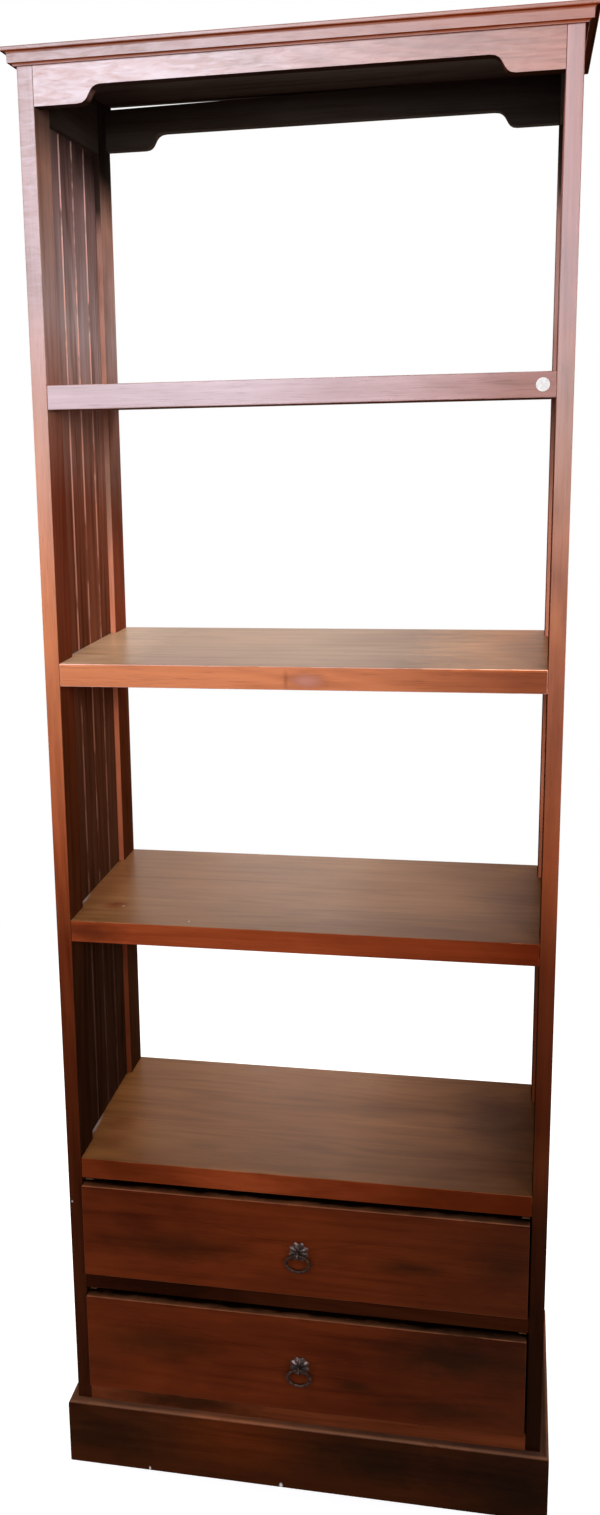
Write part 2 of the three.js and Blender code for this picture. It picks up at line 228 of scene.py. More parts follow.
def seen_in(light, *stops):
    """Stops that look like the given colours where only this share of the light arrives."""
    return tuple((z, scaled(color, 1.0 / light)) for z, color in stops)


@dataclass
class Look:
    """One kind of wood. A stain is (height in metres, colour) stops; other lengths are metres too."""

    stain: tuple
    top: tuple = ()  # colour of upward faces, painted lighter as lit from above
    under: tuple = ()  # colour of downward faces, with painted shade
    inner: tuple = ()  # colour of the side faces that look into the case, with painted sheen and shade
    ahead: tuple = ()  # colour of front faces, with painted light and shade
    wear_and_glint: tuple = ()  # colour of edge wear and of painted glints on edges and V-joints
    wear_and_glint_from: float = 0.5  # value of a noise from which an edge shows wear and glints
    edges_inside_only: bool = False  # whether only the edges on the case's inside get wear and glints
    edge: float = 1.2 * MM  # width of the eased edges
    rough: tuple = (0.3, 0.45)
    contrast: float = 1.0  # of the grain
    streaks: float = 0.3  # share of the figure
    mottle: float = 0.35  # strength of the dark patches
    coat: tuple = ()  # low z, high z, weights there of the lacquer's gloss
    coat_faces: tuple = (1.0, 0.3, 0.0)  # its shares on front faces, outer and rear ones, and upward ones
    painted_light_drift: tuple = ()  # low x, high x, tint of painted light and shade, added roughness and lost share of the gloss at high x
    painted_sheen: tuple = ()  # low x, high x, strengths there of pale curls of painted sheen on the front faces
    marks: tuple = ()  # (centre, radii, blend mode, colour) of single marks: blotches, chips, painted shade and painted sheen


def faces_of(tree, normal, across):
    """Masks of the way a face points, across being the X of the point."""
    x, y, z = split(tree, normal)
    outward = times(tree, x, math_node(tree, "SIGN", across))
    sizes = [math_node(tree, "ABSOLUTE", part) for part in (x, y, z)]
    largest = math_node(tree, "MAXIMUM", math_node(tree, "MAXIMUM", sizes[0], sizes[1]), sizes[2])
    return {
        "up": map_range(tree, z, 0.55, 0.95),
        "down": map_range(tree, z, -0.35, -0.75),
        "inner": map_range(tree, outward, -0.5, -0.85),
        "inside": map_range(tree, outward, 0.0, -0.3),
        "outer": map_range(tree, math_node(tree, "MAXIMUM", outward, y), 0.4, 0.8),
        "front": map_range(tree, y, -0.4, -0.8),
        "edge": map_range(tree, largest, 0.96, 0.82),
    }


def stain_by_height(tree, height, stops):
    """Colour of a stain, lightened by the headroom that the grain takes away again."""
    share = math_node(tree, "DIVIDE", height, SCALE_TOP)
    return ramp(tree, share, [(z / SCALE_TOP, scaled(color, HEADROOM)) for z, color in stops])


class Wood:
    """Layers of one piece's wood. Their noises run along its grain, in units of a metre."""

    def __init__(self, tree, axis, look, seed):
        self.tree = tree
        self.axis = axis
        self.look = look
        place = node(tree, "ShaderNodeTexCoord")
        self.coords = place.outputs["Object"]
        self.across, self.depth, self.height = split(tree, self.coords)
        self.faces = faces_of(tree, place.outputs["Normal"], self.across)
        rng = random.Random(seed)
        self.shift = [rng.uniform(-LONGEST_SHIFT, LONGEST_SHIFT) for _ in range(3)]
        self.streaks = self.noise(3.0, 90.0, detail=4, rough=0.62, distortion=0.3)
        self.hairs = self.noise(9.0, 420.0, detail=2, rough=0.6)
        self.patches = self.noise(3.0, 8.0, detail=4, rough=0.6, distortion=0.5)
        self.pores = map_range(tree, self.noise(30.0, 1300.0, detail=1, rough=0.5), 0.62, 0.72)

    def noise(self, along, across, **settings):
        coords = stretched(self.tree, self.coords, self.axis, along, across, self.shift)
        return noise(self.tree, coords, 1.0, **settings)

    def stain(self):
        """Colour by height, with some faces of their own; it holds painted light and shade as well as
        stain.
        """
        tree, look = self.tree, self.look
        stain = stain_by_height(tree, self.height, look.stain)
        # painted light and shade by the way a face points
        for side, stops in (("up", look.top), ("down", look.under), ("front", look.ahead)):
            if stops:
                own = stain_by_height(tree, self.height, stops)
                stain = mix_color(tree, "MIX", self.faces[side], stain, own)
        if look.inner:
            leaning = plus(tree, self.height, times(tree, self.depth, INNER_LEAN))
            own = stain_by_height(tree, leaning, look.inner)
            stain = mix_color(tree, "MIX", self.faces["inner"], stain, own)
        return stain

    def grain(self):
        """Lighter and darker figure that multiplies the stain."""
        tree, look = self.tree, self.look
        broad = self.noise(0.8, 7.0, detail=2, distortion=0.3)
        rings = map_range(tree, math_node(tree, "SINE", times(tree, broad, RING_WAVES)), -1.0, 1.0)
        clouds = self.noise(9.0, 16.0, detail=3, rough=0.5)
        figure = times(tree, broad, BROAD_SHARE - look.streaks)
        for layer, share in (
            (rings, RINGS_SHARE),
            (self.streaks, look.streaks),
            (self.hairs, HAIRS_SHARE),
            (clouds, CLOUDS_SHARE),
        ):
            figure = plus(tree, figure, times(tree, layer, share))
        middle = 1.0 / HEADROOM
        dark = tuple(middle * (1 - share * look.contrast) for share in DARK_GRAIN)
        light = tuple(middle * (1 + share * look.contrast) for share in LIGHT_GRAIN)
        return ramp(tree, figure, [(0.37, dark), (0.5, (middle, middle, middle)), (0.63, light)])

    def pored(self, color):
        """The colour with dark pores and dark patches."""
        tree = self.tree
        color = mix_color(tree, "MULTIPLY", times(tree, self.pores, PORE_SHARE), color, PORE_TINT)
        dark = map_range(tree, self.patches, 0.42, 0.72)
        return mix_color(tree, "MULTIPLY", times(tree, dark, self.look.mottle), color, MOTTLE_TINT)

    def with_painted_sheen(self, color):
        """The colour with pale slanting curls of painted sheen on the front faces, near the top."""
        tree = self.tree
        turned = node(tree, "ShaderNodeVectorRotate", rotation_type="Y_AXIS")
        link(tree, stretched(tree, self.coords, "X", *CURL_SCALES, self.shift), turned.inputs["Vector"])
        turned.inputs["Angle"].default_value = CURL_ANGLE
        curl = map_range(tree, noise(tree, turned.outputs[0], 1.0, detail=3, distortion=0.8), 0.34, 0.74)
        strength = times(tree, map_range(tree, self.across, *self.look.painted_sheen), self.faces["front"])
        strength = times(tree, strength, map_range(tree, self.height, *PAINTED_SHEEN_HEIGHTS))
        return mix_color(tree, "MIX", times(tree, curl, strength), color, PAINTED_SHEEN_COLOR)

    def roughness(self):
        """Roughness that varies with the patches and streaks."""
        mean = times(self.tree, plus(self.tree, self.patches, self.streaks), 0.5)
        return map_range(self.tree, mean, 0.35, 0.65, *self.look.rough)

    def drifted(self, low, high):
        """0 to 1 from a low X to a high one, on a wandering line."""
        wander = plus(self.tree, self.across, times(self.tree, self.patches, DRIFT_WANDER))
        middle = DRIFT_WANDER / 2
        return map_range(self.tree, wander, low + middle, high + middle)

    def wear_and_glint(self, color):
        """The colour with wear and painted glints along its edges, in places."""
        tree, look = self.tree, self.look
        breaks = self.noise(14.0, 40.0, detail=3, rough=0.6)
        wear_and_glint_mask = map_range(tree, breaks, look.wear_and_glint_from - WEAR_AND_GLINT_SOFTNESS, look.wear_and_glint_from + WEAR_AND_GLINT_SOFTNESS)
        wear_and_glint_mask = times(tree, wear_and_glint_mask, self.faces["edge"])
        if look.edges_inside_only:
            wear_and_glint_mask = times(tree, wear_and_glint_mask, self.faces["inside"])
        return mix_color(tree, "MIX", wear_and_glint_mask, color, stain_by_height(tree, self.height, look.wear_and_glint))

    def marked(self, color):
        """The colour with single marks, each a ragged ellipsoid of space: blotches, chips, painted shade
        and painted sheen.
        """
        tree = self.tree
        ragged = times(tree, self.noise(30.0, 60.0, detail=4, rough=0.6), MARK_WEAR)
        for centre, radii, blend, tint in self.look.marks:
            scale = [1.0 / r for r in radii]
            shift = [-c / r for c, r in zip(centre, radii)]
            length = node(tree, "ShaderNodeVectorMath", operation="LENGTH")
            link(tree, moved(tree, self.coords, scale, shift), length.inputs[0])
            mask = map_range(tree, plus(tree, length.outputs["Value"], ragged), *MARK_FADE)
            color = mix_color(tree, blend, mask, color, tint)
        return color

    def relief(self):
        """Normal with hairs of grain and open pores."""
        tree = self.tree
        height = plus(tree, times(tree, self.hairs, 0.6), times(tree, self.pores, -0.4))
        return relief(tree, height, 0.25)

    def coat(self):
        """Weight of the lacquer's gloss, by height and by the way a face points."""
        tree, look = self.tree, self.look
        facing = 0.0
        for side, share in zip(("front", "outer", "up"), look.coat_faces):
            facing = plus(tree, times(tree, self.faces[side], share), facing)
        return times(tree, map_range(tree, self.height, *look.coat), facing)


def wood(name, axis, look, seed):
    """Stained wood with its grain along an axis and painted light and shade in its colour; all of its
    gloss is the lacquer's.
    """
    material, tree, shader = new_material(name)
    layers = Wood(tree, axis, look, seed)
    color = mix_color(tree, "MULTIPLY", 1.0, layers.stain(), layers.grain())
    color = layers.pored(color)
    # painted sheen near the top of the front faces
    if look.painted_sheen:
        color = layers.with_painted_sheen(color)
    roughness = layers.roughness()
    coat = layers.coat() if look.coat else 0.0
    # painted light that changes across the piece, mostly painted shade towards high x
    if look.painted_light_drift:
        low, high, tint, extra, lost = look.painted_light_drift
        share = layers.drifted(low, high)
        color = mix_color(tree, "MULTIPLY", share, color, tint)
        roughness = plus(tree, roughness, times(tree, share, extra))
        coat = times(tree, coat, map_range(tree, share, 0.0, 1.0, 1.0, 1.0 - lost))
    # edge wear, with painted glints on eased edges and V-joints
    if look.wear_and_glint:
        color = layers.wear_and_glint(color)
    link(tree, layers.marked(color), shader.inputs["Base Color"])
    link(tree, roughness, shader.inputs["Roughness"])
    shader.inputs["Specular IOR Level"].default_value = 0.0
    normal = layers.relief()
    link(tree, normal, shader.inputs["Normal"])
    if look.coat:
        link(tree, coat, shader.inputs["Coat Weight"])
        shader.inputs["Coat IOR"].default_value = 1.6
        shader.inputs["Coat Roughness"].default_value = 0.3
        link(tree, normal, shader.inputs["Coat Normal"])
    return material


METAL_STOPS = ((0.36, srgb(48, 38, 34)), (0.52, srgb(80, 66, 62)), (0.68, srgb(136, 116, 112)))
METAL_SHADED_BELOW = (0.3, 0.24, 0.2)  # share of each channel that is left where it faces down: painted shade


def metal(name, seed, tone):
    """Dark, lightly pitted metal, with painted shade that darkens it where it faces down."""
    material, tree, shader = new_material(name)
    place = node(tree, "ShaderNodeTexCoord")
    shift = [random.Random(seed).uniform(-LONGEST_SHIFT, LONGEST_SHIFT)] * 3
    coords = moved(tree, place.outputs["Object"], (1.0, 1.0, 1.0), shift)
    pits = noise(tree, coords, 700.0, detail=3)
    cloud = noise(tree, coords, 160.0, detail=4, rough=0.6)
    tones = [(stop, tuple(c * t for c, t in zip(value, tone))) for stop, value in METAL_STOPS]
    color = ramp(tree, cloud, tones)
    # painted light from above: full colour facing up, painted shade facing down
    upward = split(tree, place.outputs["Normal"])[2]
    lit_above = map_range(tree, upward, -0.25, 0.55)
    shaded_below = mix_color(tree, "MULTIPLY", 1.0, color, METAL_SHADED_BELOW)
    link(tree, mix_color(tree, "MIX", lit_above, shaded_below, color), shader.inputs["Base Color"])
    shader.inputs["Metallic"].default_value = 0.85
    link(tree, map_range(tree, cloud, 0.35, 0.7, 0.55, 0.32), shader.inputs["Roughness"])
    link(tree, relief(tree, pits, 0.35), shader.inputs["Normal"])
    return material


def paper(name):
    """Matt white sticker, a little soiled."""
    material, tree, shader = new_material(name)
    coords = node(tree, "ShaderNodeTexCoord").outputs["Object"]
    soil = noise(tree, coords, 260.0, detail=4)
    color = ramp(tree, soil, [(0.35, srgb(196, 190, 186)), (0.6, srgb(220, 216, 213))])
    link(tree, color, shader.inputs["Base Color"])
    link(tree, map_range(tree, soil, 0.3, 0.7, 0.55, 0.8), shader.inputs["Roughness"])
    return material


# Looks, from display colours
FRAME_FACE = -0.155  # Y of the posts' front faces
DRAWER_FACE = -0.167  # Y of the drawer fronts and of the plinth's front
INNER_LIGHT = 0.4  # share of the front's light on faces that look into the case
JOINT_LIGHT = 0.5  # and on the edges there
# Stain with painted light: painted shade darkens it towards the floor, and painted sheen turns it pale
# lilac near the top
FRONT_STAIN_AND_PAINTED_LIGHT = (
    (0.1, srgb(52, 21, 8)),
    (0.45, srgb(64, 26, 9)),
    (0.8, srgb(97, 40, 18)),
    (0.95, srgb(148, 72, 39)),
    (1.25, srgb(193, 112, 67)),
    (1.45, srgb(181, 120, 92)),
    (1.65, srgb(142, 102, 96)),
)
# Stain with painted light: painted shade darkens it towards the floor
FRAME_STAIN_AND_PAINTED_LIGHT = (
    (0.1, srgb(44, 18, 7)),
    (0.7, srgb(72, 31, 14)),
    (1.1, srgb(118, 58, 34)),
    (1.6, srgb(160, 98, 68)),
)
# Inner faces of the front posts: painted shade low down, painted sheen greying them round 1.5 to 1.8 m,
# painted shadow under the top
POST_INNER = seen_in(
    INNER_LIGHT,
    (0.3, srgb(34, 17, 8)),
    (0.72, srgb(42, 22, 11)),
    (1.06, srgb(68, 31, 14)),
    (1.38, srgb(105, 52, 35)),
    (1.5, srgb(122, 84, 72)),
    (1.62, srgb(135, 113, 109)),
    (1.78, srgb(138, 103, 90)),
    (1.83, srgb(84, 62, 54)),
    (1.88, srgb(34, 28, 25)),
)
# Inner faces of the side boards: painted shade low down, painted sheen greying them round 1.5 to 1.8 m,
# painted shadow under the top
BOARD_INNER = seen_in(
    INNER_LIGHT,
    (0.5, srgb(34, 19, 11)),
    (0.72, srgb(39, 23, 14)),
    (1.06, srgb(65, 37, 24)),
    (1.38, srgb(95, 53, 38)),
    (1.5, srgb(122, 90, 81)),
    (1.62, srgb(136, 120, 119)),
    (1.78, srgb(114, 90, 88)),
    (1.86, srgb(46, 36, 33)),
)
# Painted glints on the side boards' V-joint chamfers, dimmed again under the top as painted shade
BOARD_JOINT_GLINT = seen_in(
    JOINT_LIGHT,
    (0.5, srgb(44, 27, 20)),
    (0.72, srgb(50, 32, 25)),
    (1.06, srgb(92, 60, 46)),
    (1.38, srgb(140, 98, 84)),
    (1.62, srgb(166, 136, 126)),
    (1.78, srgb(170, 142, 138)),
    (1.86, srgb(110, 88, 84)),
)
# Front faces of the rear posts, painted as lit from the front, with painted shade low down and painted
# shadow under the top
REAR_STRIP_LIT = seen_in(
    INNER_LIGHT,
    (0.5, srgb(70, 31, 15)),
    (0.72, srgb(82, 38, 21)),
    (1.06, srgb(146, 84, 58)),
    (1.4, srgb(140, 98, 80)),
    (1.62, srgb(150, 114, 102)),
    (1.74, srgb(128, 96, 86)),
    (1.78, srgb(44, 34, 30)),
)
# Inner faces of the rear posts: as the front posts', with painted shadow under the top
REAR_INNER = (*POST_INNER[:-2], *seen_in(INNER_LIGHT, (1.85, srgb(34, 28, 25))))
UPPER_SHADE = even(srgb(72, 64, 58))
# Top panel, rear apron and top side rails: painted shade under the top on their downward, inner and front
# faces
UPPER = Look(
    FRAME_STAIN_AND_PAINTED_LIGHT,
    under=even(srgb(86, 78, 70)),
    inner=UPPER_SHADE,
    ahead=UPPER_SHADE,
    rough=(0.7, 0.85),
)
# Pale lilac stain holding painted sheen, painted shade on its downward faces, painted light turning
# salmon towards the right
APRON = Look(
    even(srgb(150, 108, 100)),
    under=even(srgb(56, 40, 33)),
    coat=even_coat(1.0),
    painted_light_drift=(-0.1, 0.3, (1.15, 0.82, 0.6), 0.08, 0.4),
    painted_sheen=(-0.25, 0.15, 0.72, 0.16),
)
# Lilac stain holding painted sheen; downward faces painted orange for the shade they are in
CORNICE = replace(
    APRON,
    stain=even(srgb(132, 90, 80)),
    under=even(srgb(150, 74, 38)),
    wear_and_glint=even(srgb(146, 88, 66)),
    coat=even_coat(0.85),
    painted_sheen=(-0.25, 0.15, 0.3, 0.05),
)
# darker stain of the cornice's sides: painted shade
CORNICE_SIDE_SHADED = replace(CORNICE, stain=even(srgb(90, 54, 44)), under=even(srgb(64, 38, 30)))
FRONT_POST = Look(
    FRONT_STAIN_AND_PAINTED_LIGHT,
    inner=POST_INNER,
    coat=(0.9, 1.4, 0.02, 0.95),
    painted_light_drift=(0.0, 0.3, (0.7, 0.72, 0.78), 0.0, 0.1),
    painted_sheen=(-0.31, 0.31, 0.36, 0.0),
    # On the right post, bands at given heights tune its painted light and shade: lighter at the top and
    # round 0.9 and 0.52 m, darker round 1.29 and 1.13 m and at the foot. The small pale dot is on the
    # left post.
    marks=(
        ((0.32, FRAME_FACE, 1.82), (0.1, 1.0, 0.32), "MULTIPLY", (1.6, 1.2, 1.05)),
        ((0.32, FRAME_FACE, 1.29), (0.1, 1.0, 0.06), "MULTIPLY", (0.86, 0.82, 0.84)),
        ((0.32, FRAME_FACE, 1.13), (0.1, 1.0, 0.13), "MULTIPLY", (0.82, 0.72, 0.72)),
        ((0.32, FRAME_FACE, 0.9), (0.1, 1.0, 0.07), "MULTIPLY", (1.2, 1.25, 1.25)),
        ((-0.326, FRAME_FACE, 0.415), (0.0016, 0.01, 0.0022), "MIX", srgb(190, 175, 168)),
        ((0.32, FRAME_FACE, 0.52), (0.1, 1.0, 0.06), "MULTIPLY", (1.5, 1.6, 1.5)),
        ((0.32, FRAME_FACE, 0.2), (0.1, 1.0, 0.3), "MULTIPLY", (0.48, 0.58, 0.58)),
    ),
)
# painted shadow of the top on the side boards and rear posts, deepest near the top towards the rear
BOARD_TOP_SHADOW = ((0.0, 0.13, 1.85), (1.0, 0.17, 0.07), "MULTIPLY", (0.42, 0.38, 0.36))
# darkens the rear left post round 1.39 m, over the painted light of its strip
REAR_MARK = ((-0.32, 0.15, 1.39), (0.1, 0.1, 0.12), "MULTIPLY", (0.6, 0.74, 0.8))
REAR_POST = Look(
    FRAME_STAIN_AND_PAINTED_LIGHT,
    inner=REAR_INNER,
    ahead=REAR_STRIP_LIT,
    mottle=0.7,
    marks=(BOARD_TOP_SHADOW, REAR_MARK),
)
BOARD = Look(
    FRAME_STAIN_AND_PAINTED_LIGHT,
    inner=BOARD_INNER,
    wear_and_glint=BOARD_JOINT_GLINT,
    wear_and_glint_from=0.44,
    edges_inside_only=True,
    contrast=1.3,
    streaks=0.42,
    edge=0.5 * MM,
    marks=(BOARD_TOP_SHADOW,),
)
# Upward faces painted lighter as lit from above, edges with wear and painted glints, painted shade
# towards the right
DRAWER_FRONT = Look(
    even(srgb(94, 37, 12)),
    top=even(srgb(128, 78, 50)),
    wear_and_glint=even(srgb(116, 68, 43)),
    wear_and_glint_from=0.4,
    edge=2.0 * MM,
    mottle=0.6,
    coat=even_coat(0.04),
    painted_light_drift=(0.0, 0.3, (0.52, 0.62, 0.76), 0.0, 0.0),
)
GAP_SHADOW = srgb(9, 3, 1)  # painted shadow on the drawer fronts' upper faces, under what is over them
PIECE_MARKS = {  # of single pieces, added to those of their look
    "drawer_1_front": (
        # painted shadow on the upper face, behind its front edge
        ((0.0, -0.15, 0.448), (2.0, 0.02, 0.008), "MIX", GAP_SHADOW),
        ((0.0, DRAWER_FACE, 0.374), (0.026, 0.03, 0.022), "MULTIPLY", (0.7, 0.7, 0.7)),
        ((-0.18, DRAWER_FACE, 0.368), (0.13, 1.0, 0.028), "MULTIPLY", (0.55, 0.64, 0.6)),
        ((-0.235, DRAWER_FACE, 0.4), (0.05, 1.0, 0.02), "MULTIPLY", (0.7, 0.7, 0.7)),
        ((0.15, DRAWER_FACE, 0.37), (0.06, 1.0, 0.014), "MULTIPLY", (0.5, 0.62, 0.6)),
        ((0.27, DRAWER_FACE, 0.385), (0.05, 1.0, 0.045), "MULTIPLY", (0.68, 0.75, 0.8)),
    ),
    "drawer_2_front": (
        # painted shadow on the upper face, behind its front edge
        ((0.0, -0.15, 0.275), (2.0, 0.02, 0.008), "MIX", GAP_SHADOW),
        ((0.0, DRAWER_FACE, 0.197), (0.026, 0.03, 0.022), "MULTIPLY", (0.66, 0.66, 0.66)),
        ((-0.2, DRAWER_FACE, 0.212), (0.11, 1.0, 0.036), "MULTIPLY", (0.55, 0.66, 0.6)),
        ((0.215, DRAWER_FACE, 0.238), (0.14, 1.0, 0.046), "MULTIPLY", (0.34, 0.48, 0.46)),
        ((0.2, DRAWER_FACE, 0.155), (0.1, 1.0, 0.022), "MULTIPLY", (0.55, 0.66, 0.66)),
        ((0.075, DRAWER_FACE, 0.178), (0.04, 1.0, 0.012), "MULTIPLY", (0.5, 0.62, 0.55)),
        ((-0.29, DRAWER_FACE, 0.165), (0.03, 1.0, 0.04), "MULTIPLY", (0.9, 1.0, 1.1)),
    ),
    # painted shade under the upper drawer's front, deepest at the left
    "drawer_rail": (((-0.2, FRAME_FACE, 0.293), (0.2, 1.0, 0.03), "MULTIPLY", (0.4, 0.42, 0.42)),),
    # painted shade under the lower drawer's front, deepest at the left
    "bottom_rail": (((-0.17, FRAME_FACE, 0.112), (0.14, 1.0, 0.03), "MULTIPLY", (0.3, 0.36, 0.4)),),
}
# Upward faces and rounded top edge painted lighter as lit from above, painted shade towards the right
PLINTH = Look(
    even(srgb(66, 29, 9)),
    top=even(srgb(108, 69, 49)),
    wear_and_glint=even(srgb(104, 66, 46)),
    wear_and_glint_from=0.35,
    mottle=0.6,
    coat=even_coat(0.03),
    painted_light_drift=(0.0, 0.32, (0.62, 0.68, 0.8), 0.0, 0.0),
    marks=(
        ((-0.29, DRAWER_FACE, 0.05), (0.13, 1.0, 0.06), "MULTIPLY", (0.46, 0.54, 0.55)),
        ((-0.09, DRAWER_FACE, 0.065), (0.11, 1.0, 0.06), "MULTIPLY", (1.75, 1.4, 1.15)),
        ((0.1, DRAWER_FACE, 0.06), (0.12, 1.0, 0.045), "MULTIPLY", (0.42, 0.56, 0.6)),
        ((0.29, DRAWER_FACE, 0.045), (0.15, 1.0, 0.08), "MULTIPLY", (0.38, 0.44, 0.5)),
        ((-0.222, DRAWER_FACE, 0.003), (0.0018, 0.02, 0.004), "MIX", srgb(225, 220, 215)),
        ((-0.029, DRAWER_FACE, 0.003), (0.003, 0.02, 0.005), "MIX", srgb(225, 220, 215)),
    ),
)
SHELVES = {
    # Pale lilac stain holding painted sheen; tops painted lighter as lit, undersides painted shade, edges
    # with wear and painted glints, painted light turning salmon towards the right
    "shelf_1": Look(
        even(srgb(166, 136, 138)),
        top=even(srgb(160, 110, 90)),
        under=even(srgb(120, 84, 72)),
        wear_and_glint=even(srgb(176, 142, 138)),
        coat=even_coat(1.0),
        painted_light_drift=(-0.05, 0.27, (0.72, 0.48, 0.36), 0.0, 0.65),
    ),
    # Tops painted lighter as lit from above, edges with wear and painted glints, painted shade towards
    # the right
    "shelf_2": Look(
        even(srgb(190, 114, 74)),
        top=even(srgb(195, 147, 106)),
        wear_and_glint=even(srgb(206, 154, 142)),
        wear_and_glint_from=0.4,
        contrast=0.7,
        mottle=0.2,
        coat=even_coat(0.64),
        coat_faces=(0.4, 0.1, 1.0),
        painted_light_drift=(0.0, 0.28, (0.48, 0.37, 0.32), 0.1, 0.5),
        marks=(
            # painted sheen on the top at the right end
            ((0.27, 0.0, 1.188), (0.14, 1.0, 0.004), "MULTIPLY", (2.2, 2.1, 1.6)),
            # painted shade on the front at the right end
            ((0.27, FRAME_FACE, 1.173), (0.08, 0.02, 0.014), "MULTIPLY", (0.84, 0.8, 0.82)),
            ((0.013, FRAME_FACE, 1.17), (0.036, 0.02, 0.019), "MULTIPLY", (0.66, 0.62, 0.62)),
            ((0.015, FRAME_FACE, 1.17), (0.026, 0.02, 0.011), "MIX", srgb(172, 112, 94)),
            ((-0.012, FRAME_FACE, 1.17), (0.004, 0.02, 0.016), "MULTIPLY", (0.75, 0.7, 0.66)),
            # painted sheen, bluish, on the top at the left end
            ((-0.3, 0.0, 1.188), (0.09, 1.0, 0.004), "MULTIPLY", (1.5, 1.75, 2.0)),
            ((-0.29, -0.07, 1.188), (0.03, 0.02, 0.004), "MULTIPLY", (0.84, 0.76, 0.7)),
            ((-0.3155, -0.06, 1.188), (0.004, 0.04, 0.004), "MIX", srgb(196, 178, 168)),
        ),
    ),
    # Tops painted lighter as lit from above, edges with wear and painted glints, painted shade towards
    # the right
    "shelf_3": Look(
        even(srgb(138, 61, 30)),
        top=even(srgb(156, 106, 62)),
        wear_and_glint=even(srgb(150, 84, 56)),
        wear_and_glint_from=0.55,
        contrast=0.75,
        mottle=0.25,
        coat=even_coat(0.5),
        coat_faces=(0.06, 0.1, 1.0),
        painted_light_drift=(0.03, 0.31, (0.61, 0.51, 0.46), 0.3, 0.72),
        marks=(
            # painted shade on the top at the left end
            ((-0.3, 0.02, 0.836), (0.035, 0.2, 0.004), "MULTIPLY", (0.85, 0.74, 0.7)),
            # painted shade on the front at the left end
            ((-0.29, FRAME_FACE, 0.82), (0.07, 0.02, 0.02), "MULTIPLY", (0.45, 0.44, 0.46)),
            # painted shade on the front at the right end
            ((0.3, FRAME_FACE, 0.82), (0.06, 0.02, 0.03), "MULTIPLY", (0.78, 0.7, 0.66)),
            ((-0.266, -0.083, 0.836), (0.02, 0.022, 0.004), "MULTIPLY", (0.72, 0.45, 0.4)),
            ((-0.24, 0.03, 0.836), (0.06, 0.05, 0.004), "MULTIPLY", (0.82, 0.78, 0.74)),
            ((-0.254, -0.086, 0.836), (0.0018, 0.003, 0.004), "MIX", srgb(220, 205, 190)),
            ((-0.15, -0.135, 0.836), (0.0015, 0.004, 0.004), "MIX", srgb(220, 205, 190)),
            ((-0.3155, -0.07, 0.836), (0.004, 0.03, 0.004), "MIX", srgb(190, 172, 160)),
        ),
    ),
    # Tops painted lighter as lit from above, edges with wear and painted glints, painted shade towards
    # the right
    "shelf_4": Look(
        even(srgb(113, 46, 20)),
        top=even(srgb(142, 90, 48)),
        wear_and_glint=even(srgb(120, 66, 42)),
        contrast=0.8,
        coat=even_coat(0.28),
        coat_faces=(0.0, 0.1, 1.0),
        painted_light_drift=(0.06, 0.29, (0.42, 0.36, 0.32), 0.3, 0.8),
        marks=(
            ((-0.25, FRAME_FACE, 0.468), (0.1, 0.012, 0.03), "MULTIPLY", (0.74, 0.76, 0.72)),
            ((-0.08, FRAME_FACE, 0.468), (0.1, 0.012, 0.03), "MULTIPLY", (1.6, 1.8, 1.9)),
            ((0.2, FRAME_FACE, 0.468), (0.14, 0.012, 0.03), "MULTIPLY", (0.8, 0.8, 0.72)),
            # painted shade on the top towards the right rear
            ((0.26, 0.07, 0.484), (0.08, 0.12, 0.004), "MULTIPLY", (0.58, 0.5, 0.46)),
            ((-0.277, -0.1, 0.484), (0.035, 0.035, 0.004), "MULTIPLY", (0.76, 0.66, 0.64)),
            ((-0.283, -0.04, 0.484), (0.03, 0.03, 0.004), "MULTIPLY", (0.74, 0.62, 0.56)),
            ((-0.145, -0.092, 0.484), (0.04, 0.02, 0.004), "MULTIPLY", (0.8, 0.78, 0.76)),
            ((-0.22, -0.14, 0.484), (0.06, 0.012, 0.004), "MULTIPLY", (0.95, 0.85, 0.8)),
            ((-0.3155, -0.06, 0.484), (0.004, 0.04, 0.004), "MIX", srgb(176, 158, 148)),
        ),
    ),
}
PLAIN = Look(even(srgb(92, 62, 40)), rough=(0.55, 0.7), edge=0.5 * MM)
# lighter than the drawers: painted light on a rail that the lower drawer's front shades
BOTTOM_RAIL = Look(even(srgb(104, 50, 26)))
FRAME = Look(FRAME_STAIN_AND_PAINTED_LIGHT)
LOOKS = (  # by the start of a piece's name; the first that fits counts, and FRAME where none does
    (("plinth",), PLINTH),
    (("drawer_1_front", "drawer_2_front"), DRAWER_FRONT),
    (("drawer_1", "drawer_2", "runner", "back_panel"), PLAIN),
    (("side_board",), BOARD),
    (("apron_front",), APRON),
    (("cornice_front",), CORNICE),
    (("cornice",), CORNICE_SIDE_SHADED),
    (("post_front",), FRONT_POST),
    (("post_rear",), REAR_POST),
    (("apron_rear", "top_panel", "side_rail_top"), UPPER),
    (("bottom_rail",), BOTTOM_RAIL),
)
METAL_TONES = {
    "pull_rosette": (0.86, 0.82, 0.82),
    "pull_eye": (0.84, 0.78, 0.76),
    "pull_ring": (0.42, 0.28, 0.2),
    "pull_nut": (0.8, 0.8, 0.8),
}


def grain_of(name):
    """Axis that the grain of a piece runs along."""
    if name.startswith(("post_", "side_board", "back_panel")):
        return "Z"
    if name.startswith(("side_rail", "runner")) or name.endswith(("_left", "_right")):
        return "Y"
    return "X"


def look_of(name):
    """Look of a wooden piece, with its own marks."""
    if name in SHELVES:
        return SHELVES[name]
    look = next((look for starts, look in LOOKS if name.startswith(starts)), FRAME)
    return replace(look, marks=look.marks + PIECE_MARKS.get(name, ()))


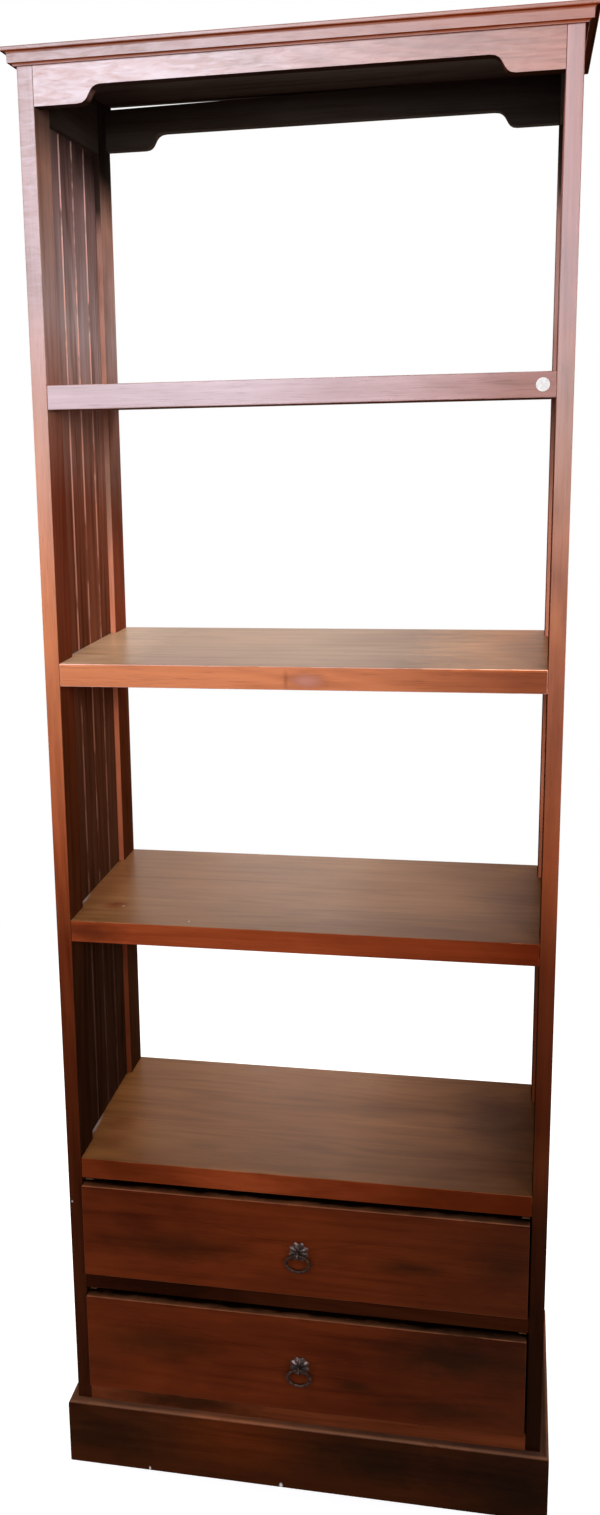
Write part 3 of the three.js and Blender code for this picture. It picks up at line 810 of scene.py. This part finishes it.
WELD_DISTANCE = 0.01 * MM
EASE_SEGMENTS = 3
EASE_FROM = math.radians(40)  # sharpest angle that is left as it is


def ease(target, width):
    """Rounded edges by modifiers, over the CAD mesh as it is."""
    weld = target.modifiers.new("weld", "WELD")
    weld.merge_threshold = WELD_DISTANCE
    bevel = target.modifiers.new("ease", "BEVEL")
    bevel.width = width
    bevel.segments = EASE_SEGMENTS
    bevel.limit_method = "ANGLE"
    bevel.angle_limit = EASE_FROM
    bevel.use_clamp_overlap = True
    shade = target.modifiers.new("shade", "WEIGHTED_NORMAL")
    shade.keep_sharp = False


def dress(target, name, seed):
    """Material, and eased edges where it is wood."""
    if name.startswith("pull_"):
        material = metal(f"metal_{name}", seed, METAL_TONES[name[:-2]])
    elif name == "shelf_sticker":
        material = paper("sticker")
    else:
        look = look_of(name)
        material = wood(f"wood_{name}", grain_of(name), look, seed)
        ease(target, look.edge)
    target.data.materials.clear()
    target.data.materials.append(material)
    for polygon in target.data.polygons:
        polygon.use_smooth = True


# Studio
WARM_WHITE = (1.0, 0.98, 0.96)
LAMPS = (  # name, place, aim, size, watts, colour and spread in degrees
    ("window", (-0.6, -3.5, 2.45), (-0.3, 0.0, 2.0), (2.4, 1.9), 62.0, (0.88, 0.91, 1.0), 120.0),
    ("key", (1.5, -2.7, 1.9), (-0.2, 0.0, 1.15), (0.9, 0.9), 7.0, (1.0, 0.94, 0.88), 70.0),
    ("back", (0.6, 2.4, 3.4), (0.0, 0.0, 1.0), (2.0, 1.4), 50.0, (1.0, 0.97, 0.94), 180.0),
    ("left", (-2.8, 0.15, 1.3), (0.0, 0.15, 1.0), (0.4, 1.8), 34.0, WARM_WHITE, 180.0),
    ("right", (2.8, 0.15, 1.3), (0.0, 0.15, 1.0), (0.4, 1.8), 34.0, WARM_WHITE, 180.0),
    ("rear", (-0.5, 3.0, 0.6), (0.0, 0.15, 0.5), (0.5, 0.8), 30.0, WARM_WHITE, 180.0),
)
AMBIENT_COLOR = (0.9, 0.93, 1.0)
AMBIENT_STRENGTH = 0.14
FLOOR_HALF = 30.0
FLOOR_DROP = 0.5 * MM  # under the pieces that stand on it
FLOOR_BOUNCE = (0.3, 0.29, 0.28)  # as it lights the object
FLOOR_SEEN = (0.85, 0.85, 0.85)
FLOOR_GLOW = (-0.8, -0.25, 0.5, 0.62)  # low y, high y and the strengths of its own light there
FLOOR_FADE = (0.9, 2.4)  # distances at which it begins to turn white and is white


def add_area(name, place, aim, size, power, color, spread):
    data = bpy.data.lights.new(name, "AREA")
    data.shape = "RECTANGLE"
    data.size, data.size_y = size
    data.energy = power
    data.color = color
    data.spread = math.radians(spread)
    lamp = bpy.data.objects.new(name, data)
    place = Vector(place)
    turn = (Vector(aim) - place).to_track_quat("-Z", "Y").to_matrix().to_4x4()
    lamp.matrix_world = Matrix.Translation(place) @ turn
    bpy.context.scene.collection.objects.link(lamp)


def shows_background(tree):
    """1 for the rays that show the background: the camera's, mirrored and transmitted ones."""
    path = node(tree, "ShaderNodeLightPath")
    seen = plus(tree, path.outputs["Is Camera Ray"], path.outputs["Is Glossy Ray"])
    return math_node(tree, "ADD", seen, path.outputs["Is Transmission Ray"], clamp=True)


def plain_shader(tree, kind, color):
    """A shader of one colour."""
    made = node(tree, kind)
    made.inputs["Color"].default_value = (*color, 1.0)
    return made


def joined(tree, kind, first, second, factor=None):
    """Two shaders, mixed by a factor or added."""
    made = node(tree, kind)
    if factor is not None:
        link(tree, factor, made.inputs[0])
    link(tree, first.outputs[0], made.inputs[-2])
    link(tree, second.outputs[0], made.inputs[-1])
    return made


def make_world():
    """Soft light from all round, and a white backdrop."""
    world = bpy.data.worlds.new("world")
    bpy.context.scene.world = world
    world.use_nodes = True
    tree = world.node_tree
    tree.nodes.clear()
    soft = plain_shader(tree, "ShaderNodeBackground", AMBIENT_COLOR)
    soft.inputs["Strength"].default_value = AMBIENT_STRENGTH
    white = plain_shader(tree, "ShaderNodeBackground", (1.0, 1.0, 1.0))
    mix = joined(tree, "ShaderNodeMixShader", soft, white, shows_background(tree))
    link(tree, mix.outputs[0], node(tree, "ShaderNodeOutputWorld").inputs[0])


def make_floor():
    """Plain pale floor, lit by the lamps round the object and fading into the white backdrop."""
    half = FLOOR_HALF
    mesh = bpy.data.meshes.new("floor")
    corners = [(-half, -half, 0), (half, -half, 0), (half, half, 0), (-half, half, 0)]
    mesh.from_pydata(corners, [], [(0, 1, 2, 3)])
    floor = bpy.data.objects.new("floor", mesh)
    floor.location.z = -FLOOR_DROP
    bpy.context.scene.collection.objects.link(floor)
    material, tree, _ = new_material("floor")
    tree.nodes.clear()
    side, depth, _ = split(tree, node(tree, "ShaderNodeTexCoord").outputs["Object"])
    glow = node(tree, "ShaderNodeEmission")
    link(tree, map_range(tree, depth, *FLOOR_GLOW), glow.inputs["Strength"])
    pale = plain_shader(tree, "ShaderNodeBsdfDiffuse", FLOOR_SEEN)
    near = joined(tree, "ShaderNodeAddShader", pale, glow)
    squares = plus(tree, times(tree, side, side), times(tree, depth, depth))
    far = map_range(tree, math_node(tree, "SQRT", squares), *FLOOR_FADE)
    seen = joined(tree, "ShaderNodeMixShader", near, node(tree, "ShaderNodeEmission"), far)
    bounce = plain_shader(tree, "ShaderNodeBsdfDiffuse", FLOOR_BOUNCE)
    mix = joined(tree, "ShaderNodeMixShader", bounce, seen, shows_background(tree))
    link(tree, mix.outputs[0], node(tree, "ShaderNodeOutputMaterial").inputs[0])
    mesh.materials.append(material)


for number, piece_name in enumerate(sorted(NODES)):
    dress(NODES[piece_name], piece_name, number)
make_camera()
make_world()
make_floor()
for lamp_settings in LAMPS:
    add_area(*lamp_settings)
bpy.context.scene.view_settings.view_transform = "Standard"
